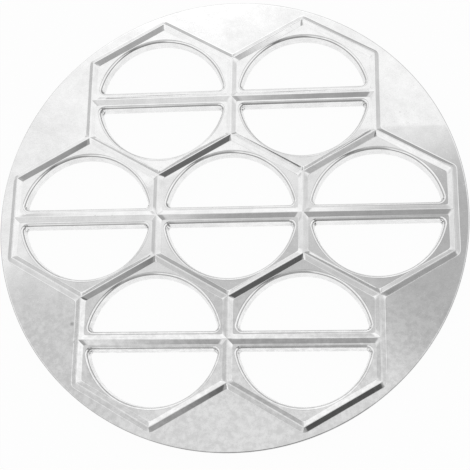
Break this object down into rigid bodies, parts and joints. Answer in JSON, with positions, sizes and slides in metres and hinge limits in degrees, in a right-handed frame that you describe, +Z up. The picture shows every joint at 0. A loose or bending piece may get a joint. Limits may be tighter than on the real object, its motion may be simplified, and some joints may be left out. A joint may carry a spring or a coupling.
{
  "type": "ravioli mould",
  "caption": "Round cast plate for cutting filled pasta, with raised honeycomb ridges, ridged bars and half-round openings.",
  "frame": {"origin": "centre of the underside, on the plane that the collars stand on", "axes": "+Z up, out of the ridged face; the bars run along X, and +Y points to the back row of cells"},
  "size_m": [0.2404, 0.2404, 0.0072],
  "materials": {
    "cast_aluminium": "as-cast, brushed and dulled by use"
  },
  "bodies": {
    "root": {"mould": "cast_aluminium"}
  },
  "joints": []
}
